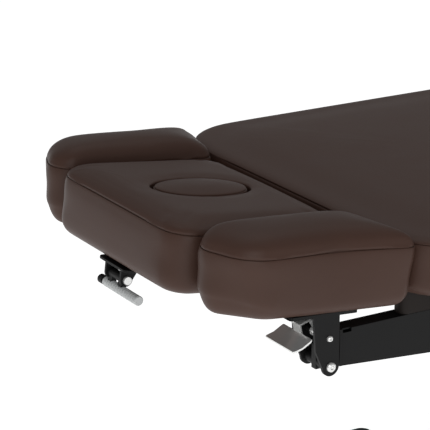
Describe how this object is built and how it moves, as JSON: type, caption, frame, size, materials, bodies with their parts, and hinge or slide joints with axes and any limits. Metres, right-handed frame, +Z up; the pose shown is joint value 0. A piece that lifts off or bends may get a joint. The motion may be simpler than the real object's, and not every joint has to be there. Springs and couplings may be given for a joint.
{
  "type": "electric spa couch",
  "caption": "Electric treatment couch with a face-opening headrest, drop armrests with chrome release paddles, tilting backrest and leg rest, on telescopic lifting columns.",
  "frame": {"origin": "centre of the couch's bounding box, on the floor under the feet", "axes": "+X from the head end to the foot end, +Y to the left of someone lying on the back, +Z up"},
  "size_m": [1.9616, 0.78, 0.7525],
  "materials": {
    "leather": "smooth dark brown leatherette, satin",
    "board": "black lacquered plywood",
    "grip": "light grey ribbed plastic",
    "chrome": "polished",
    "column": "silver grey powder coat",
    "rubber": "matte",
    "plastic": "fine grain",
    "black_steel": "satin black powder coat"
  },
  "bodies": {
    "base": {"base_frame": "black_steel", "base_feet": "rubber", "wheel_axles": "chrome", "column_outers": "column", "control_box": "plastic"},
    "column_middle": {"column_mids": "column"},
    "lift_frame": {"column_inners": "column", "main_frame_left": "black_steel", "main_frame_right": "black_steel", "main_frame_head_tube": "black_steel", "main_frame_middle_tube": "black_steel", "main_frame_foot_tube": "black_steel", "seat_pad": "leather", "seat_board": "board", "actuator_pins": "chrome", "leg_actuator_housing": "plastic"},
    "backrest": {"backrest_pad": "leather", "backrest_board": "board", "side_beam_left": "black_steel", "side_beam_right": "black_steel", "backrest_battens": "board", "backrest_front_tube": "black_steel", "backrest_rear_tube": "black_steel", "headrest_arms": "black_steel", "backrest_hinge_pins": "chrome", "armrest_pivot_blocks": "black_steel"},
    "headrest": {"headrest_pad": "leather", "headrest_board": "board", "headrest_frame": "black_steel", "headrest_hinge_pins": "chrome", "headrest_lever_mount": "black_steel", "headrest_lever_bolt": "chrome"},
    "headrest_release": {"headrest_lever": "black_steel", "headrest_lever_grip": "grip"},
    "face_plug": {"face_plug": "leather"},
    "gas_cylinder": {"gas_spring_cylinder": "black_steel"},
    "gas_rod": {"gas_spring_rod": "chrome"},
    "leg_section": {"leg_pad": "leather", "leg_board": "board", "leg_frame": "black_steel", "leg_hinge_pins": "chrome"},
    "back_drive": {"back_actuator_housing": "plastic"},
    "back_rod": {"back_actuator_rod": "chrome"},
    "leg_rod": {"leg_actuator_rod": "chrome"},
    "wheel_left": {"transport_wheel_left": "rubber"},
    "wheel_right": {"transport_wheel_right": "rubber"},
    "armrest_left": {"armrest_pad_left": "leather", "armrest_board_left": "board", "armrest_bracket_left": "black_steel", "armrest_pivot_bolt_left": "chrome", "armrest_paddle_screw_left": "chrome"},
    "paddle_left": {"armrest_paddle_left": "chrome", "armrest_pawl_left": "black_steel"},
    "armrest_right": {"armrest_pad_right": "leather", "armrest_board_right": "board", "armrest_bracket_right": "black_steel", "armrest_pivot_bolt_right": "chrome", "armrest_paddle_screw_right": "chrome"},
    "paddle_right": {"armrest_paddle_right": "chrome", "armrest_pawl_right": "black_steel"}
  },
  "joints": [
    {"name": "lift", "type": "slide", "parent": "base", "child": "lift_frame", "axis": [0, 0, 1], "range_m": [0, 0.25]},
    {"name": "column_stage", "type": "slide", "parent": "base", "child": "column_middle", "axis": [0, 0, 1], "range_m": [0, 0.126]},
    {"name": "back_tilt", "type": "hinge", "parent": "lift_frame", "child": "backrest", "pos_m": [0.05275, 0, 0.67], "axis": [0, 1, 0], "range_deg": [0, 68]},
    {"name": "back_drive_swing", "type": "hinge", "parent": "lift_frame", "child": "back_drive", "pos_m": [0.17775, 0.045, 0.49], "axis": [0, 1, 0], "range_deg": [-0.5, 32.61]},
    {"name": "back_drive_travel", "type": "slide", "parent": "back_drive", "child": "back_rod", "axis": [-0.9991, 0, 0.0416], "range_m": [-0.001, 0.1647]},
    {"name": "leg_tilt", "type": "hinge", "parent": "lift_frame", "child": "leg_section", "pos_m": [0.47475, 0, 0.57], "axis": [0, 1, 0], "range_deg": [0, 75]},
    {"name": "leg_drive_travel", "type": "slide", "parent": "lift_frame", "child": "leg_rod", "axis": [1, 0, 0], "range_m": [-0.0585, 0.001]},
    {"name": "head_tilt", "type": "hinge", "parent": "backrest", "child": "headrest", "pos_m": [-0.65375, 0, 0.64], "axis": [0, 1, 0], "range_deg": [-32, 14]},
    {"name": "gas_swing", "type": "hinge", "parent": "backrest", "child": "gas_cylinder", "pos_m": [-0.48325, 0, 0.55], "axis": [0, 1, 0], "range_deg": [-10.15, 4.72]},
    {"name": "gas_travel", "type": "slide", "parent": "gas_cylinder", "child": "gas_rod", "axis": [-0.9993, 0, 0.0384], "range_m": [-0.0551, 0.0252]},
    {"name": "headrest_release", "type": "hinge", "parent": "headrest", "child": "headrest_release", "pos_m": [-0.96021, 0, 0.60697], "axis": [0, 1, 0], "range_deg": [0, 20], "stiffness_Nm_per_rad": 0.6, "springref_deg": -14.32},
    {"name": "plug_lift", "type": "slide", "parent": "headrest", "child": "face_plug", "axis": [0.1231, 0, 0.9924], "range_m": [0, 0.13]},
    {"name": "armrest_left", "type": "hinge", "parent": "backrest", "child": "armrest_left", "pos_m": [-0.76625, 0.28, 0.52], "axis": [0, -1, 0], "range_deg": [0, 90]},
    {"name": "paddle_left", "type": "hinge", "parent": "armrest_left", "child": "paddle_left", "pos_m": [-0.76925, 0.28, 0.567], "axis": [0, -1, 0], "range_deg": [0, 12], "stiffness_Nm_per_rad": 0.8, "springref_deg": -17.19},
    {"name": "armrest_right", "type": "hinge", "parent": "backrest", "child": "armrest_right", "pos_m": [-0.76625, -0.28, 0.52], "axis": [0, -1, 0], "range_deg": [0, 90]},
    {"name": "paddle_right", "type": "hinge", "parent": "armrest_right", "child": "paddle_right", "pos_m": [-0.76925, -0.28, 0.567], "axis": [0, -1, 0], "range_deg": [0, 12], "stiffness_Nm_per_rad": 0.8, "springref_deg": -17.19},
    {"name": "wheel_left", "type": "hinge", "parent": "base", "child": "wheel_left", "pos_m": [0.57875, 0.24, 0.038], "axis": [0, 1, 0], "continuous": true},
    {"name": "wheel_right", "type": "hinge", "parent": "base", "child": "wheel_right", "pos_m": [0.57875, -0.24, 0.038], "axis": [0, 1, 0], "continuous": true}
  ],
  "couplings": [
    {"joint": "column_stage", "follows": "lift", "ratio": 0.5},
    {"joint": "back_drive_swing", "follows": "back_tilt", "ratio": 0.4678},
    {"joint": "back_drive_travel", "follows": "back_tilt", "m_per_rad": 0.1371},
    {"joint": "leg_drive_travel", "follows": "leg_tilt", "m_per_rad": -0.0432},
    {"joint": "gas_swing", "follows": "head_tilt", "ratio": 0.3016},
    {"joint": "gas_travel", "follows": "head_tilt", "m_per_rad": 0.0951}
  ]
}
